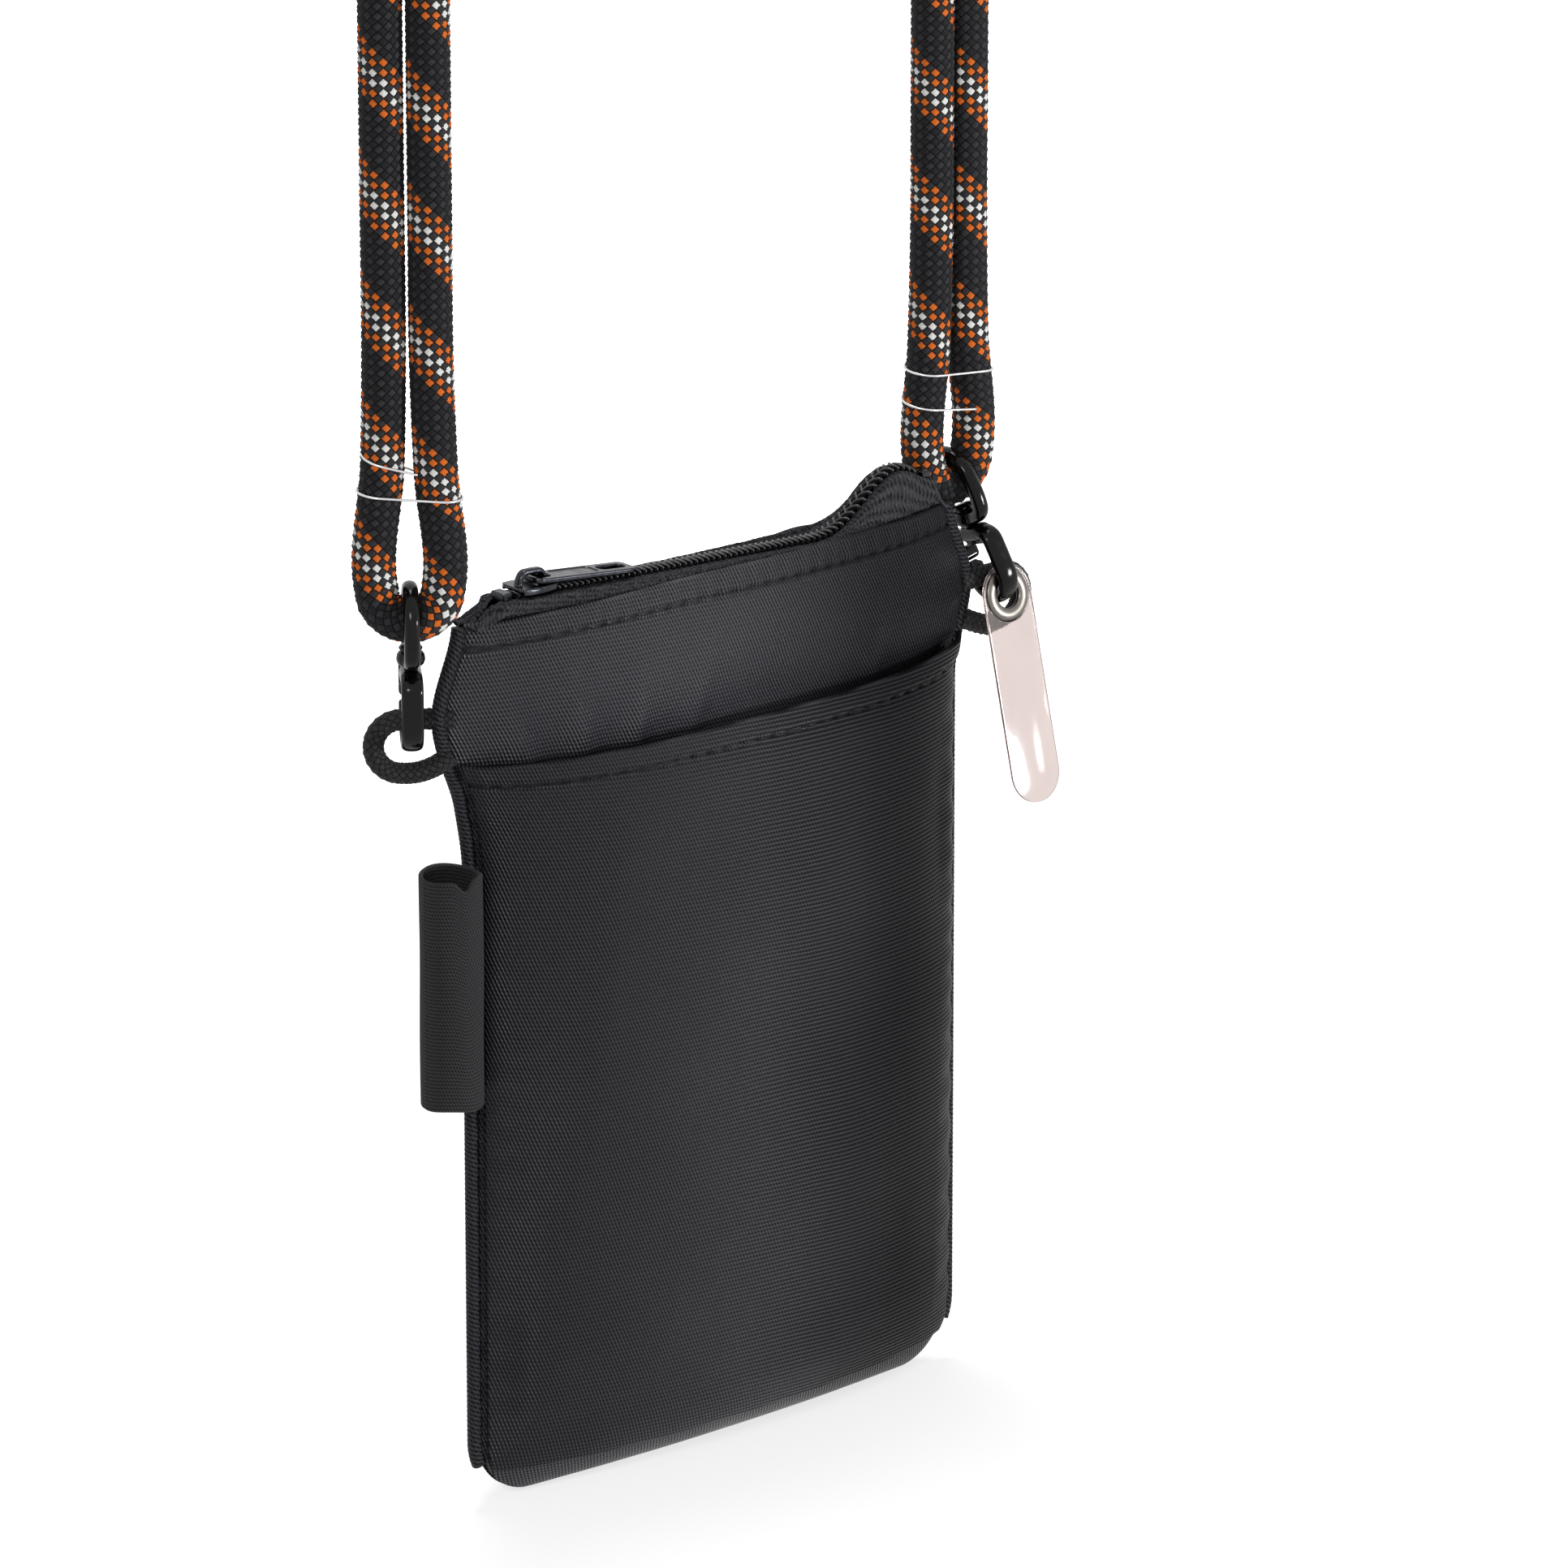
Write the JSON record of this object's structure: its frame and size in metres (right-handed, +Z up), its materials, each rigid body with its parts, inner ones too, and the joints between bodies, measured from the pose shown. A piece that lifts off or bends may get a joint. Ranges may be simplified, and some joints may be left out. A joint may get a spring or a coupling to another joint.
{
  "type": "crossbody pouch",
  "caption": "Slim upright zipped pouch with a front slip pocket, pen loop and side cord loops, hung by swivel hooks on a doubled, adjustable rope strap.",
  "frame": {"origin": "the point where the strap is carried, under the crest of the rope's arch, midway between the hooks", "axes": "+Z up along the pouch's height, front pocket towards -Y, pen loop towards -X"},
  "size_m": [0.1688, 0.0332, 0.4484],
  "materials": {
    "nylon": "black nylon cloth, satin, with fine ribs",
    "lining_cloth": "thin black lining cloth, dull",
    "zip_tape": "black woven polyester tape, herringbone, dull",
    "zip_coil": "black nylon coil, slight gloss",
    "gunmetal": "dark gunmetal plating, gloss",
    "hook_enamel": "black enamel over zinc casting, gloss",
    "spring_steel": "plain spring steel",
    "loop_cord": "black braided cord, dull",
    "rope": "round braided rope in black, orange and white yarns",
    "elastic": "black elastic webbing, dull",
    "tie_wire": "thin bare wire",
    "clear_plastic": "clear soft plastic, slightly pink",
    "eyelet_metal": "brushed silver eyelet"
  },
  "bodies": {
    "strap": {"rope_strap": "rope", "sliding_knot_left": "rope", "sliding_knot_right": "rope", "tie_wire_left": "tie_wire", "tie_wire_right": "tie_wire", "hook_eye_left": "hook_enamel", "hook_eye_right": "hook_enamel"},
    "pouch": {"front_panel": "nylon", "back_panel": "nylon", "lining": "lining_cloth", "pocket_panel": "nylon", "side_binding_left": "nylon", "side_binding_right": "nylon", "zip_tape_front": "zip_tape", "zip_tape_back": "zip_tape", "zip_teeth_front": "zip_coil", "zip_teeth_back": "zip_coil", "zip_stop_left": "gunmetal", "zip_stop_right": "gunmetal", "cord_loop_left": "loop_cord", "cord_loop_right": "loop_cord", "pen_loop": "elastic"},
    "slider": {"zip_slider": "gunmetal"},
    "pull": {"zip_pull": "gunmetal"},
    "hook_left": {"hook_body_left": "hook_enamel", "gate_spring_left": "spring_steel"},
    "gate_left": {"hook_gate_left": "hook_enamel", "gate_pin_left": "spring_steel"},
    "hook_right": {"hook_body_right": "hook_enamel", "gate_spring_right": "spring_steel"},
    "gate_right": {"hook_gate_right": "hook_enamel", "gate_pin_right": "spring_steel"},
    "tab": {"tether_tab": "clear_plastic", "tether_eyelet": "eyelet_metal"}
  },
  "joints": [
    {"name": "pouch_swing", "type": "hinge", "parent": "strap", "child": "pouch", "pos_m": [0, 0.00186, -0.2822], "axis": [0.9996, -0.0265, 0], "range_deg": [-4, 10]},
    {"name": "zip_slide", "type": "slide", "parent": "pouch", "child": "slider", "axis": [0.9984, 0, -0.0563], "range_m": [0, 0.045]},
    {"name": "pull_flip", "type": "hinge", "parent": "slider", "child": "pull", "pos_m": [-0.04436, 0, -0.25936], "axis": [0, -1, 0], "range_deg": [0, 110]},
    {"name": "hook_left_swivel", "type": "hinge", "parent": "strap", "child": "hook_left", "pos_m": [-0.07112, 0.00262, -0.28136], "axis": [0, 0, 1], "range_deg": [-15, 3]},
    {"name": "hook_right_swivel", "type": "hinge", "parent": "strap", "child": "hook_right", "pos_m": [0.07005, -0.00069, -0.28138], "axis": [-0.2228, 0.3289, 0.9177], "range_deg": [0, 10]},
    {"name": "gate_left_hinge", "type": "hinge", "parent": "hook_left", "child": "gate_left", "pos_m": [-0.06807, 0.00683, -0.27346], "axis": [-0.809, 0.5878, 0], "range_deg": [0, 22], "stiffness_Nm_per_rad": 0.002, "springref_deg": -11.46},
    {"name": "gate_right_hinge", "type": "hinge", "parent": "hook_right", "child": "gate_right", "pos_m": [0.06896, 0.00681, -0.27573], "axis": [-0.9662, 0.0506, -0.2527], "range_deg": [0, 22], "stiffness_Nm_per_rad": 0.002, "springref_deg": -11.46},
    {"name": "tab_swing", "type": "hinge", "parent": "hook_right", "child": "tab", "pos_m": [0.07077, -0.00447, -0.28489], "axis": [-1, 0, 0], "range_deg": [0, 5]}
  ]
}
